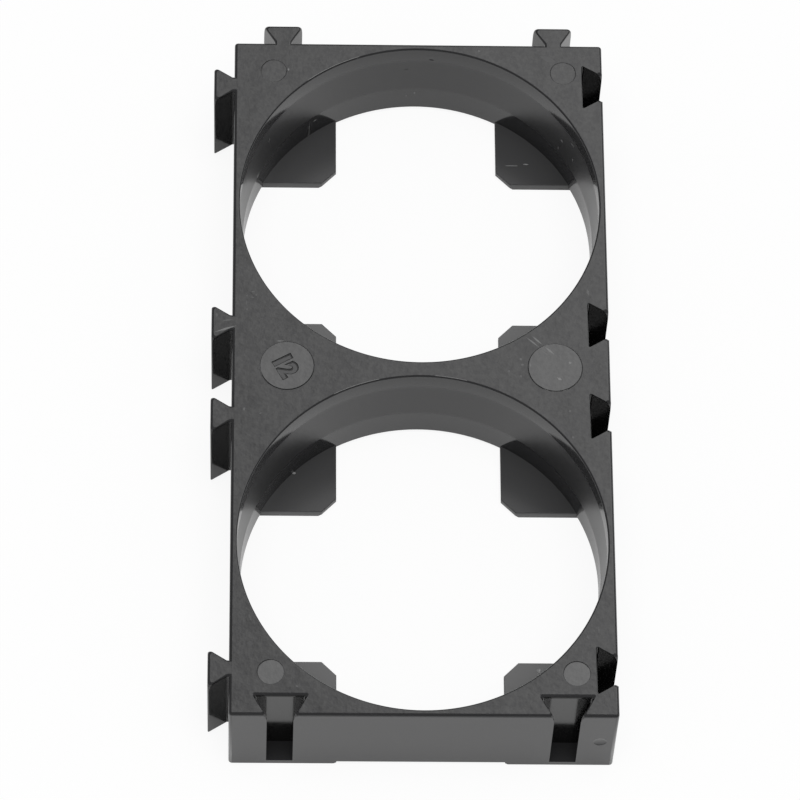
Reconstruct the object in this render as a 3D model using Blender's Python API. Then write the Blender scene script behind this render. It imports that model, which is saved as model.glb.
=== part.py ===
"""Cell holder bracket: one moulding in black ABS with a row of round pockets for cylindrical cells.

Each pocket is open at the top and holds one cell upright on four corner ledges. Dovetail tabs on the
left and back sides slide down into matching sockets in the right and front sides of the next bracket.
The frame is +Z up with the feet on z = 0, X across the row and Y along it.
The origin is under the middle of the outside box, tabs included.
"""

import math

import bmesh
import bpy

# Cell pockets. Lengths are in metres, and angles in degrees.
CELL_COUNT = 2
CELL_DIAMETER = 0.0322
CELL_CLEARANCE = 0.00015
POCKET_TAPER = 0.00028
POCKET_STRAIGHT_SHARE = 0.21
POCKET_GRIP_SHARE = 0.37
POCKET_RIM_RADIUS = 0.00016

# Body around the pockets.
SIDE_WALL = 0.0006
BODY_HEIGHT = 0.0102
CORNER_RADIUS = 0.0003
TOP_EDGE_RADIUS = 0.0002
STACK_GAP = 0.0003

# Corner ledges under the cells, and the cross channels for connecting strips between them.
CHANNEL_WIDTH = 0.0148
CHANNEL_DEPTH = 0.0005
LEDGE_RISE = 0.00035
LEDGE_CORNER_CUT = 0.0013
FOOT_CHAMFER = 0.0003

# Dovetail tabs, and the sockets that take them with a clearance.
TAB_INSET = 0.00445
TAB_REACH = 0.00185
TAB_ROOT_WIDTH = 0.00135
TAB_FLANK_ANGLE = 32.0
TAB_ROOT_FILLET = 0.0002
TAB_TIP_RADIUS = 0.00012
TAB_TIP_TOP_RADIUS = 0.00033
TAB_TOP_RADIUS = 0.00022
TAB_ANCHOR = 0.001
SOCKET_SIDE_CLEARANCE = 0.00028
SOCKET_END_CLEARANCE = 0.0003
SOCKET_FLOOR = 0.00065
SOCKET_CORNER_RADIUS = 0.0002
SOCKET_RIM_RADIUS = 0.0003
SOCKET_SIDE_RIM_SHARE = 0.35
LEAD_IN_FLARE = 0.00065
LEAD_IN_HEIGHT = 0.0014

# Round marks of the ejector pins on the top face.
PAD_DIAMETER = 0.0048
PAD_HEIGHT = 0.00006
PAD_SIDE_INSET = 0.0049
PAD_BACK_SHIFT = 0.00023
DIMPLE_DIAMETER = 0.0023
DIMPLE_DEPTH = 0.00006
DIMPLE_SIDE_INSET = 0.0036
DIMPLE_BACK_INSET = 0.003
DIMPLE_FRONT_INSET = 0.0041

# How far a cutter runs past what it cuts, and how finely round shapes are divided.
OVERRUN = 0.001
POCKET_SEGMENTS = 112
MARK_SEGMENTS = 40
LEAD_IN_SEGMENTS = 32
CORNER_STEPS = 3
EDGE_STEPS = 2

# Sizes that follow from the ones above.
POCKET_RADIUS = CELL_DIAMETER / 2 + CELL_CLEARANCE
POCKET_STRAIGHT_FROM = BODY_HEIGHT * (1 - POCKET_STRAIGHT_SHARE)
POCKET_GRIP_TO = BODY_HEIGHT * POCKET_GRIP_SHARE
BODY_WIDTH = 2 * (POCKET_RADIUS + SIDE_WALL)
CELL_PITCH = BODY_WIDTH + STACK_GAP
BODY_LENGTH = BODY_WIDTH + (CELL_COUNT - 1) * CELL_PITCH
LEDGE_TOP = CHANNEL_DEPTH + LEDGE_RISE
FLANK_SLOPE = math.tan(math.radians(TAB_FLANK_ANGLE))
TAB_OFFSET = BODY_WIDTH / 2 - TAB_INSET
SOCKET_DEPTH = TAB_REACH - STACK_GAP + SOCKET_END_CLEARANCE
SOCKET_MOUTH_WIDTH = TAB_ROOT_WIDTH + 2 * (STACK_GAP * FLANK_SLOPE + SOCKET_SIDE_CLEARANCE)

# The tabs stand out on the left and back only, so the body lies off the middle of the outside box.
BODY_X = TAB_REACH / 2
BODY_Y = -TAB_REACH / 2

BLACK_ABS_COLOUR = (0.045, 0.045, 0.047, 1.0)
BLACK_ABS_ROUGHNESS = 0.35


def clear_scene():
    """Removes every object of the opened file."""
    for obj in list(bpy.data.objects):
        bpy.data.objects.remove(obj, do_unlink=True)


def make_material(name, colour, roughness):
    """Returns a plain Principled material."""
    material = bpy.data.materials.new(name)
    material.use_nodes = True
    shader = material.node_tree.nodes["Principled BSDF"]
    shader.inputs["Base Color"].default_value = colour
    shader.inputs["Roughness"].default_value = roughness
    shader.inputs["Metallic"].default_value = 0.0
    return material


def add_object(name, mesh_data):
    """Turns a bmesh into an object of the scene."""
    bmesh.ops.recalc_face_normals(mesh_data, faces=mesh_data.faces[:])
    mesh = bpy.data.meshes.new(name)
    mesh_data.to_mesh(mesh)
    mesh_data.free()
    obj = bpy.data.objects.new(name, mesh)
    bpy.context.collection.objects.link(obj)
    return obj


def add_cutter(name, mesh_data):
    """Adds a construction solid that only shapes the bracket."""
    obj = add_object(name, mesh_data)
    obj.hide_render = True
    obj.display_type = "WIRE"
    return obj


def apply_boolean(target, tool, operation):
    """Adds an exact Boolean of the tool to the target."""
    modifier = target.modifiers.new(f"{operation.lower()}_{tool.name}", "BOOLEAN")
    modifier.operation = operation
    modifier.solver = "EXACT"
    modifier.object = tool


def cell_centres():
    """Returns the centre of each pocket, from the front to the back."""
    first = BODY_Y - (CELL_COUNT - 1) * CELL_PITCH / 2
    return [(BODY_X, first + index * CELL_PITCH) for index in range(CELL_COUNT)]


def quarter_steps(radius, steps):
    """Returns (rise, run) pairs round a quarter circle, from its upright side to its level side."""
    pairs = []
    for index in range(steps + 1):
        angle = math.pi / 2 * index / steps
        pairs.append((radius * math.sin(angle), radius * (1 - math.cos(angle))))
    return pairs


def add_loft(mesh_data, rings):
    """Joins rings of equally many points, listed from the bottom to the top, into a closed solid."""
    loops = [[mesh_data.verts.new(point) for point in ring] for ring in rings]
    for lower, upper in zip(loops, loops[1:]):
        for index in range(len(lower)):
            following = (index + 1) % len(lower)
            mesh_data.faces.new((lower[index], lower[following], upper[following], upper[index]))
    mesh_data.faces.new(loops[0][::-1])
    mesh_data.faces.new(loops[-1])


def circle_ring(centre, radius, height, segments):
    """Returns the points of a level circle."""
    turn = 2 * math.pi / segments
    ring = []
    for index in range(segments):
        x = centre[0] + radius * math.cos(index * turn)
        y = centre[1] + radius * math.sin(index * turn)
        ring.append((x, y, height))
    return ring


def round_corner(before, corner, after, radius, steps):
    """Returns the points of an arc that rounds one corner of a flat outline."""
    to_before = (before[0] - corner[0], before[1] - corner[1])
    to_after = (after[0] - corner[0], after[1] - corner[1])
    length_before = math.hypot(*to_before)
    length_after = math.hypot(*to_after)
    unit_before = (to_before[0] / length_before, to_before[1] / length_before)
    unit_after = (to_after[0] / length_after, to_after[1] / length_after)
    cosine = unit_before[0] * unit_after[0] + unit_before[1] * unit_after[1]
    half_angle = math.acos(max(-1.0, min(1.0, cosine))) / 2
    reach = min(radius / math.tan(half_angle), length_before / 2, length_after / 2)
    arc_radius = reach * math.tan(half_angle)
    middle = (unit_before[0] + unit_after[0], unit_before[1] + unit_after[1])
    middle_length = math.hypot(*middle)
    distance = arc_radius / math.sin(half_angle)
    centre = (corner[0] + middle[0] / middle_length * distance,
              corner[1] + middle[1] / middle_length * distance)
    start = (corner[0] + unit_before[0] * reach - centre[0],
             corner[1] + unit_before[1] * reach - centre[1])
    cross = unit_before[0] * unit_after[1] - unit_before[1] * unit_after[0]
    sweep = math.copysign(math.pi - 2 * half_angle, -cross)
    points = []
    for index in range(steps + 1):
        angle = sweep * index / steps
        x = start[0] * math.cos(angle) - start[1] * math.sin(angle)
        y = start[0] * math.sin(angle) + start[1] * math.cos(angle)
        points.append((centre[0] + x, centre[1] + y))
    return points


def make_block():
    """Makes the plain block of the body with rounded corners and a rounded top edge."""
    mesh_data = bmesh.new()
    bmesh.ops.create_cube(mesh_data, size=1.0)
    for vertex in mesh_data.verts:
        vertex.co.x = BODY_X + vertex.co.x * BODY_WIDTH
        vertex.co.y = BODY_Y + vertex.co.y * BODY_LENGTH
        vertex.co.z = (vertex.co.z + 0.5) * BODY_HEIGHT
    upright = [edge for edge in mesh_data.edges if edge.verts[0].co.z != edge.verts[1].co.z]
    bmesh.ops.bevel(mesh_data, geom=upright, offset=CORNER_RADIUS, offset_type="OFFSET",
                    segments=CORNER_STEPS, profile=0.5, affect="EDGES")
    top_face = max(mesh_data.faces, key=lambda face: face.calc_center_median().z)
    bmesh.ops.bevel(mesh_data, geom=top_face.edges[:], offset=TOP_EDGE_RADIUS, offset_type="OFFSET",
                    segments=EDGE_STEPS, profile=0.5, affect="EDGES")
    return add_object("cell_bracket", mesh_data)


def make_pocket_bores():
    """Makes the round bores: straight under a rounded rim, then narrowing to a straight grip."""
    mesh_data = bmesh.new()
    bottom_radius = POCKET_RADIUS - POCKET_TAPER
    for centre in cell_centres():
        rings = [circle_ring(centre, bottom_radius, -OVERRUN, POCKET_SEGMENTS),
                 circle_ring(centre, bottom_radius, POCKET_GRIP_TO, POCKET_SEGMENTS),
                 circle_ring(centre, POCKET_RADIUS, POCKET_STRAIGHT_FROM, POCKET_SEGMENTS)]
        rim_start = BODY_HEIGHT - POCKET_RIM_RADIUS
        for rise, run in quarter_steps(POCKET_RIM_RADIUS, EDGE_STEPS):
            rings.append(circle_ring(centre, POCKET_RADIUS + run, rim_start + rise, POCKET_SEGMENTS))
        rim_radius = POCKET_RADIUS + POCKET_RIM_RADIUS
        rings.append(circle_ring(centre, rim_radius, BODY_HEIGHT + OVERRUN, POCKET_SEGMENTS))
        add_loft(mesh_data, rings)
    return add_cutter("pocket_bores", mesh_data)


def foot_outline(side, low, high, inward):
    """Returns one foot's outline, with cut inner corners, drawn back from the lengthways channel."""
    inner = side * (CHANNEL_WIDTH / 2 + inward)
    outer = side * (BODY_WIDTH / 2 + 2 * OVERRUN)
    cut = side * LEDGE_CORNER_CUT
    outline = [(inner, low + LEDGE_CORNER_CUT), (inner + cut, low), (outer, low),
               (outer, high), (inner + cut, high), (inner, high - LEDGE_CORNER_CUT)]
    return [(BODY_X + x, y) for x, y in outline]


def make_feet():
    """Makes the feet, whose parts inside the pockets are the corner ledges that stop the cells."""
    mesh_data = bmesh.new()
    half_channel = CHANNEL_WIDTH / 2
    channel_rows = [centre[1] for centre in cell_centres()]
    past_end = BODY_LENGTH / 2 + 2 * OVERRUN + LEDGE_CORNER_CUT
    lows = [BODY_Y - past_end] + [row + half_channel for row in channel_rows]
    highs = [row - half_channel for row in channel_rows] + [BODY_Y + past_end]
    levels = [(-2 * OVERRUN, FOOT_CHAMFER), (0, FOOT_CHAMFER), (FOOT_CHAMFER, 0), (LEDGE_TOP, 0)]
    for side in (-1, 1):
        for low, high in zip(lows, highs):
            rings = []
            for height, inward in levels:
                rings.append([(x, y, height) for x, y in foot_outline(side, low, high, inward)])
            add_loft(mesh_data, rings)
    return add_cutter("feet", mesh_data)


def make_underside_slab():
    """Makes the slab under the body, out of which the feet are left standing."""
    mesh_data = bmesh.new()
    bmesh.ops.create_cube(mesh_data, size=1.0)
    for vertex in mesh_data.verts:
        vertex.co.x = BODY_X + vertex.co.x * (BODY_WIDTH + 2 * OVERRUN)
        vertex.co.y = BODY_Y + vertex.co.y * (BODY_LENGTH + 2 * OVERRUN)
        vertex.co.z = CHANNEL_DEPTH if vertex.co.z > 0 else -OVERRUN
    return add_cutter("underside_and_pockets", mesh_data)


def tab_places():
    """Returns (x, y, direction) of each tab's root, for the left side and then the back side."""
    centres = cell_centres()
    left = BODY_X - BODY_WIDTH / 2
    back = BODY_Y + BODY_LENGTH / 2
    places = []
    for _, y in centres:
        places.append((left, y - TAB_OFFSET, (-1, 0)))
        places.append((left, y + TAB_OFFSET, (-1, 0)))
    places.append((BODY_X - TAB_OFFSET, back, (0, 1)))
    places.append((BODY_X + TAB_OFFSET, back, (0, 1)))
    return places


def socket_places():
    """Returns (x, y, direction) of each socket's mouth, opposite the tabs."""
    places = []
    for x, y, direction in tab_places():
        mouth_x = x + BODY_WIDTH if direction[0] else x
        mouth_y = y if direction[0] else y - BODY_LENGTH
        places.append((mouth_x, mouth_y, direction))
    return places


def place_outline(outline, place, height):
    """Puts an outline of (distance along the direction, distance across) pairs at a height."""
    x, y, direction = place
    ring = []
    for along, across in outline:
        ring.append((x + along * direction[0] - across * direction[1],
                     y + along * direction[1] + across * direction[0], height))
    return ring


def tab_outline(inset, tip_radius):
    """Returns a tab's outline, drawn in by an inset for its rounded top edge."""
    root = TAB_ROOT_WIDTH / 2 - inset
    reach = TAB_REACH - inset
    tip = TAB_ROOT_WIDTH / 2 + TAB_REACH * FLANK_SLOPE - inset
    fillet_end = root + TAB_ROOT_FILLET * FLANK_SLOPE
    side = [(-TAB_ANCHOR, root + TAB_ROOT_FILLET), (0, root + TAB_ROOT_FILLET / 2)]
    side += [(TAB_ROOT_FILLET, fillet_end)]
    side += round_corner((TAB_ROOT_FILLET, fillet_end), (reach, tip), (reach, -tip),
                         tip_radius, CORNER_STEPS)
    return side + [(along, -across) for along, across in reversed(side)]


def tab_levels():
    """Returns (height, inset, tip radius) up a tab: its tips grow rounder to lead into a socket."""
    lead_in_start = BODY_HEIGHT - LEAD_IN_HEIGHT
    shoulder = BODY_HEIGHT - TAB_TOP_RADIUS
    extra_radius = TAB_TIP_TOP_RADIUS - TAB_TIP_RADIUS
    levels = [(SOCKET_FLOOR, 0, TAB_TIP_RADIUS)]
    for index in range(CORNER_STEPS):
        share = index / CORNER_STEPS
        height = lead_in_start + (shoulder - lead_in_start) * math.sin(math.pi / 2 * share)
        radius = TAB_TIP_RADIUS + extra_radius * (1 - math.cos(math.pi / 2 * share))
        levels.append((height, 0, radius))
    for rise, run in quarter_steps(TAB_TOP_RADIUS, EDGE_STEPS):
        levels.append((shoulder + rise, run, TAB_TIP_TOP_RADIUS))
    return levels


def make_tabs():
    """Makes the dovetail tabs, from the height of the socket floors to the top face."""
    mesh_data = bmesh.new()
    for place in tab_places():
        rings = []
        for height, inset, tip_radius in tab_levels():
            rings.append(place_outline(tab_outline(inset, tip_radius), place, height))
        add_loft(mesh_data, rings)
    return add_cutter("tabs", mesh_data)


def socket_outline(outset):
    """Returns a socket's outline from past its mouth to its deep end, grown by an outset there."""
    mouth = SOCKET_MOUTH_WIDTH / 2 + outset * SOCKET_SIDE_RIM_SHARE
    deep = SOCKET_DEPTH + outset
    deep_half = mouth + SOCKET_DEPTH * FLANK_SLOPE
    side = [(-OVERRUN, mouth), (0, mouth)]
    side += round_corner((0, mouth), (deep, deep_half), (deep, -deep_half),
                         SOCKET_CORNER_RADIUS, CORNER_STEPS)
    return side + [(along, -across) for along, across in reversed(side)]


def make_sockets(name, places):
    """Makes the cutters of one side's sockets, with a rounded rim at the top face."""
    mesh_data = bmesh.new()
    rim_start = BODY_HEIGHT - SOCKET_RIM_RADIUS
    levels = [(SOCKET_FLOOR, 0)]
    for rise, run in quarter_steps(SOCKET_RIM_RADIUS, EDGE_STEPS):
        levels.append((rim_start + rise, run))
    levels.append((BODY_HEIGHT + OVERRUN, SOCKET_RIM_RADIUS))
    for place in places:
        rings = [place_outline(socket_outline(outset), place, height) for height, outset in levels]
        add_loft(mesh_data, rings)
    return add_cutter(name, mesh_data)


def make_lead_ins():
    """Makes the round flares that guide a tab down into each socket's mouth."""
    mesh_data = bmesh.new()
    mouth = SOCKET_MOUTH_WIDTH / 2
    for x, y, _ in socket_places():
        rings = [circle_ring((x, y), mouth, BODY_HEIGHT - LEAD_IN_HEIGHT, LEAD_IN_SEGMENTS)]
        for index in range(1, CORNER_STEPS + 1):
            angle = math.pi / 2 * index / CORNER_STEPS
            radius = mouth + LEAD_IN_FLARE * (1 - math.cos(angle))
            height = BODY_HEIGHT - LEAD_IN_HEIGHT * (1 - math.sin(angle))
            rings.append(circle_ring((x, y), radius, height, LEAD_IN_SEGMENTS))
        rings.append(circle_ring((x, y), mouth + LEAD_IN_FLARE, BODY_HEIGHT + OVERRUN, LEAD_IN_SEGMENTS))
        add_loft(mesh_data, rings)
    return add_cutter("lead_ins", mesh_data)


def add_disc(mesh_data, centre, diameter, low, high):
    """Adds a short upright cylinder."""
    add_loft(mesh_data, [circle_ring(centre, diameter / 2, low, MARK_SEGMENTS),
                         circle_ring(centre, diameter / 2, high, MARK_SEGMENTS)])


def make_pads():
    """Makes the raised pin marks, in pairs on the bridges between the pockets."""
    mesh_data = bmesh.new()
    rows = [centre[1] for centre in cell_centres()]
    for lower, upper in zip(rows, rows[1:]):
        for side in (-1, 1):
            x = BODY_X + side * (BODY_WIDTH / 2 - PAD_SIDE_INSET)
            add_disc(mesh_data, (x, (lower + upper) / 2 + PAD_BACK_SHIFT), PAD_DIAMETER,
                     BODY_HEIGHT - OVERRUN, BODY_HEIGHT + PAD_HEIGHT)
    return add_cutter("pin_pads", mesh_data)


def make_dimples():
    """Makes the sunken pin marks near the four corners of the top face."""
    mesh_data = bmesh.new()
    for side in (-1, 1):
        x = BODY_X + side * (BODY_WIDTH / 2 - DIMPLE_SIDE_INSET)
        for y in (BODY_Y + BODY_LENGTH / 2 - DIMPLE_BACK_INSET,
                  BODY_Y - BODY_LENGTH / 2 + DIMPLE_FRONT_INSET):
            add_disc(mesh_data, (x, y), DIMPLE_DIAMETER, BODY_HEIGHT - DIMPLE_DEPTH, BODY_HEIGHT + OVERRUN)
    return add_cutter("pin_dimples", mesh_data)


def build_bracket():
    """Builds the bracket from its block by adding and cutting the features."""
    bracket = make_block()
    bracket.data.materials.append(make_material("black_abs", BLACK_ABS_COLOUR, BLACK_ABS_ROUGHNESS))
    underside = make_underside_slab()
    apply_boolean(underside, make_pocket_bores(), "UNION")
    apply_boolean(underside, make_feet(), "DIFFERENCE")
    apply_boolean(bracket, make_tabs(), "UNION")
    if CELL_COUNT > 1:
        apply_boolean(bracket, make_pads(), "UNION")
    apply_boolean(bracket, underside, "DIFFERENCE")
    right_places = [place for place in socket_places() if place[2][0]]
    front_places = [place for place in socket_places() if place[2][1]]
    apply_boolean(bracket, make_sockets("right_sockets", right_places), "DIFFERENCE")
    apply_boolean(bracket, make_sockets("front_sockets", front_places), "DIFFERENCE")
    apply_boolean(bracket, make_lead_ins(), "DIFFERENCE")
    apply_boolean(bracket, make_dimples(), "DIFFERENCE")


clear_scene()
build_bracket()
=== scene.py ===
import math

import bmesh
import bpy
from mathutils import Matrix, Quaternion, Vector


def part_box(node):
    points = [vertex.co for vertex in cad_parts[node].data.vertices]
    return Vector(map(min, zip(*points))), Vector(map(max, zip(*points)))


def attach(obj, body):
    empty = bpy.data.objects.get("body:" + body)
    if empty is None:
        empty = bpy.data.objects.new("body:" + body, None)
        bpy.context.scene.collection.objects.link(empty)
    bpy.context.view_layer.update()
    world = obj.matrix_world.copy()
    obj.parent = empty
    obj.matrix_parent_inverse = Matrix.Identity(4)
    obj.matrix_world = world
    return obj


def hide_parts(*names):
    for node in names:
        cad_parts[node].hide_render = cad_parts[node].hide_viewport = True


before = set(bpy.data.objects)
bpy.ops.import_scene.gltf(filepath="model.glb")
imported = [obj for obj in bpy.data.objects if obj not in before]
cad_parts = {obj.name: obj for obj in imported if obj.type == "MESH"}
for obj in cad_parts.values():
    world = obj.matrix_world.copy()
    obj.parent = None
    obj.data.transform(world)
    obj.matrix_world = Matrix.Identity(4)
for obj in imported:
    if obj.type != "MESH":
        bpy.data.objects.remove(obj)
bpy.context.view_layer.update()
cad_low, cad_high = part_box("cell_bracket")


# Camera. The photograph looks steeply down from in front and a little from the left, through a long
# lens, at a point on the top face near the middle of the bracket. Lengths are in metres, the lens
# and its sensor in millimetres, and angles in degrees.
PIN_PAD_HEIGHT = 0.00006
TOP = cad_high.z - PIN_PAD_HEIGHT
CAMERA_AIM = Vector((-0.00098, -0.004063, TOP))
CAMERA_DISTANCE = 0.475872
CAMERA_ELEVATION = 62.166
CAMERA_SWING = -3.4151
CAMERA_ROLL = 3.4607
CAMERA_LENS = 241.4575
CAMERA_SENSOR = 36.0
CAMERA_CLIP_SHARE = 0.05


def place_camera():
    """Adds the camera and makes it the scene's own."""
    elevation = math.radians(CAMERA_ELEVATION)
    swing = math.radians(CAMERA_SWING)
    towards_camera = Vector((math.sin(swing) * math.cos(elevation),
                             -math.cos(swing) * math.cos(elevation),
                             math.sin(elevation)))
    data = bpy.data.cameras.new("product_camera")
    data.lens = CAMERA_LENS
    data.sensor_width = CAMERA_SENSOR
    data.clip_start = CAMERA_DISTANCE * CAMERA_CLIP_SHARE
    camera = bpy.data.objects.new("product_camera", data)
    bpy.context.scene.collection.objects.link(camera)
    camera.location = CAMERA_AIM + towards_camera * CAMERA_DISTANCE
    camera.rotation_mode = "QUATERNION"
    roll = Quaternion((0, 0, 1), math.radians(CAMERA_ROLL))
    camera.rotation_quaternion = towards_camera.to_track_quat("Z", "Y") @ roll
    bpy.context.scene.camera = camera


place_camera()


# Studio. The bracket stands on a white table under a wide soft light, in a white room that its
# satin faces mirror. The table and the room show plain white, and the table keeps a soft shadow.
WHITE = "#FFFFFF"
TABLE_SIZE = 6.0
TABLE_GLOW_SHARE = 0.9
TABLE_MIRROR_SHARE = 0.2
ROOM_FILL = 0.4
SOFTBOX_AXIS = Vector((0.286, 0.514, 0.809)).normalized()
SOFTBOX_FROM = 0.875
SOFTBOX_TO = 1.02
SOFTBOX_GLOW = 2.1
DARK_SIDE_GLOW = 0.12
LAMP_SIZE = 0.9
LAMP_PLACE = (0.05, -0.2, 1.08)
LAMP_POWER = 7.5


def linear(hex_colour):
    """Turns an sRGB hex colour into linear red, green, blue and alpha."""
    parts = []
    for start in (1, 3, 5):
        value = int(hex_colour[start:start + 2], 16) / 255
        parts.append(value / 12.92 if value <= 0.04045 else ((value + 0.055) / 1.055) ** 2.4)
    return (*parts, 1.0)


def add_node(tree, kind, settings=None, inputs=None):
    """Adds a shader node, with its settings, and its inputs as values or as links from sockets."""
    node = tree.nodes.new(kind)
    for name, value in (settings or {}).items():
        setattr(node, name, value)
    for name, value in (inputs or {}).items():
        if isinstance(value, bpy.types.NodeSocket):
            tree.links.new(value, node.inputs[name])
        else:
            node.inputs[name].default_value = value
    return node


def make_table():
    """Makes the white table top, which shows white to the camera and keeps part of its shadow."""
    material = bpy.data.materials.new("matt_white_table")
    material.use_nodes = True
    tree = material.node_tree
    tree.nodes.clear()
    paint = add_node(tree, "ShaderNodeBsdfDiffuse", inputs={"Color": linear(WHITE)})
    glow = add_node(tree, "ShaderNodeEmission", inputs={"Color": linear(WHITE), "Strength": 1.0})
    rays = add_node(tree, "ShaderNodeLightPath")
    seen = add_node(tree, "ShaderNodeMath", {"operation": "MULTIPLY"},
                    {0: rays.outputs["Is Camera Ray"], 1: TABLE_GLOW_SHARE})
    clear = add_node(tree, "ShaderNodeMath", {"operation": "MULTIPLY"},
                     {0: rays.outputs["Is Transmission Ray"], 1: TABLE_GLOW_SHARE})
    mirrored = add_node(tree, "ShaderNodeMath", {"operation": "MULTIPLY_ADD"},
                        {0: rays.outputs["Is Glossy Ray"], 1: TABLE_MIRROR_SHARE,
                         2: clear.outputs["Value"]})
    share = add_node(tree, "ShaderNodeMath", {"operation": "MAXIMUM"},
                     {0: seen.outputs["Value"], 1: mirrored.outputs["Value"]})
    blend = add_node(tree, "ShaderNodeMixShader", inputs={0: share.outputs["Value"],
                                                          1: paint.outputs["BSDF"],
                                                          2: glow.outputs["Emission"]})
    add_node(tree, "ShaderNodeOutputMaterial", inputs={"Surface": blend.outputs["Shader"]})
    surface = bmesh.new()
    bmesh.ops.create_grid(surface, x_segments=1, y_segments=1, size=TABLE_SIZE / 2)
    mesh = bpy.data.meshes.new("white_table")
    surface.to_mesh(mesh)
    surface.free()
    mesh.materials.append(material)
    table = bpy.data.objects.new("white_table", mesh)
    bpy.context.scene.collection.objects.link(table)


def light_room():
    """Adds the white room with its softbox, which glossy faces mirror, and one wide soft lamp."""
    world = bpy.data.worlds.new("white_room")
    world.use_nodes = True
    tree = world.node_tree
    tree.nodes.clear()
    direction = add_node(tree, "ShaderNodeTexCoord")
    facing = add_node(tree, "ShaderNodeVectorMath", {"operation": "DOT_PRODUCT"},
                      {0: direction.outputs["Generated"], 1: SOFTBOX_AXIS})
    softbox = add_node(tree, "ShaderNodeMapRange", {"interpolation_type": "SMOOTHSTEP"},
                       {"Value": facing.outputs["Value"], "From Min": SOFTBOX_FROM,
                        "From Max": SOFTBOX_TO, "To Min": DARK_SIDE_GLOW, "To Max": SOFTBOX_GLOW})
    rays = add_node(tree, "ShaderNodeLightPath")
    seen = add_node(tree, "ShaderNodeMath", {"operation": "MAXIMUM"},
                    {0: rays.outputs["Is Camera Ray"], 1: rays.outputs["Is Transmission Ray"]})
    plain = add_node(tree, "ShaderNodeMix", inputs={0: seen.outputs["Value"], 2: ROOM_FILL, 3: 1.0})
    strength = add_node(tree, "ShaderNodeMix", inputs={0: rays.outputs["Is Glossy Ray"],
                                                       2: plain.outputs[0],
                                                       3: softbox.outputs["Result"]})
    glow = add_node(tree, "ShaderNodeBackground", inputs={"Color": linear(WHITE),
                                                          "Strength": strength.outputs[0]})
    add_node(tree, "ShaderNodeOutputWorld", inputs={"Surface": glow.outputs["Background"]})
    bpy.context.scene.world = world
    data = bpy.data.lights.new("soft_lamp", "AREA")
    data.shape = "DISK"
    data.size = LAMP_SIZE
    data.energy = LAMP_POWER
    lamp = bpy.data.objects.new("soft_lamp", data)
    bpy.context.scene.collection.objects.link(lamp)
    lamp.location = LAMP_PLACE
    lamp.rotation_mode = "QUATERNION"
    lamp.rotation_quaternion = lamp.location.to_track_quat("Z", "Y")
    lamp.visible_glossy = False


make_table()
light_room()
bpy.context.scene.view_settings.view_transform = "Standard"


# Body. One injection moulding in black ABS: a low block with two round bores side by side that
# almost meet its walls. The tool's edges were eased, so its upright corners and its top edges are
# rounded, and the bores narrow a little downwards and open to a rounded rim.
TAB_REACH = 0.00185
SIDE_WALL = 0.0006
BODY_CORNER_RADIUS = 0.0003
TOP_EDGE_RADIUS = 0.00026
BASE_EDGE_RADIUS = 0.00006
CELL_COUNT = 2
STACK_GAP = 0.0003
BORE_TAPER = 0.00028
BORE_STRAIGHT_FROM = 0.0081
BORE_GRIP_TO = 0.0038
BORE_CREASE_RADIUS = 0.0003
RIM_RADIUS = 0.00016
BORE_SEGMENTS = 288
ROUND_STEPS = 5
OVERRUN = 0.001
# Solids that are joined or cut pass at least a hair through each other's faces.
KNIT = 0.00002
HAIR = 0.000002
MERGE_DISTANCE = 1e-7
LEVEL_MARGIN = 1e-6
BODY_LEFT = cad_low.x + TAB_REACH
BODY_RIGHT = cad_high.x
BODY_FRONT = cad_low.y
BODY_BACK = cad_high.y - TAB_REACH
BODY_WIDTH = BODY_RIGHT - BODY_LEFT
MIDDLE_X = (BODY_LEFT + BODY_RIGHT) / 2
MIDDLE_Y = (BODY_FRONT + BODY_BACK) / 2
BORE_RADIUS = BODY_WIDTH / 2 - SIDE_WALL
CELL_PITCH = BODY_WIDTH + STACK_GAP
FIRST_CELL_Y = MIDDLE_Y - (CELL_COUNT - 1) * CELL_PITCH / 2
CELL_ROWS = [FIRST_CELL_Y + index * CELL_PITCH for index in range(CELL_COUNT)]
CHANNEL_DEPTH = 0.0005


def make_solid(name, shape):
    """Turns a closed bmesh into an object, with its faces pointing outwards."""
    bmesh.ops.remove_doubles(shape, verts=shape.verts[:], dist=MERGE_DISTANCE)
    bmesh.ops.triangulate(shape, faces=shape.faces[:])
    bmesh.ops.recalc_face_normals(shape, faces=shape.faces[:])
    mesh = bpy.data.meshes.new(name)
    shape.to_mesh(mesh)
    shape.free()
    solid = bpy.data.objects.new(name, mesh)
    bpy.context.scene.collection.objects.link(solid)
    return solid


def add_box(shape, low, high):
    """Adds a box between two corners and returns its vertices."""
    low = Vector(low)
    high = Vector(high)
    verts = bmesh.ops.create_cube(shape, size=1.0)["verts"]
    bmesh.ops.scale(shape, vec=high - low, verts=verts)
    bmesh.ops.translate(shape, vec=(low + high) / 2, verts=verts)
    return verts


def round_edges(shape, edges, radius, steps=ROUND_STEPS):
    """Rounds edges of a shape."""
    bmesh.ops.bevel(shape, geom=edges, offset=radius, offset_type="OFFSET", segments=steps,
                    profile=0.5, affect="EDGES", material=-1)


def off_axis(place):
    """Returns how far a place lies from the nearer bore's axis."""
    return min((place.to_2d() - Vector((MIDDLE_X, row))).length for row in CELL_ROWS)


def edges_at(shape, height):
    """Returns the edges that lie level at a height."""
    return [edge for edge in shape.edges
            if all(abs(vert.co.z - height) < LEVEL_MARGIN for vert in edge.verts)]


def upright_edges(shape):
    """Returns the edges that run straight up."""
    return [edge for edge in shape.edges
            if (edge.verts[0].co - edge.verts[1].co).to_2d().length < MERGE_DISTANCE]


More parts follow.
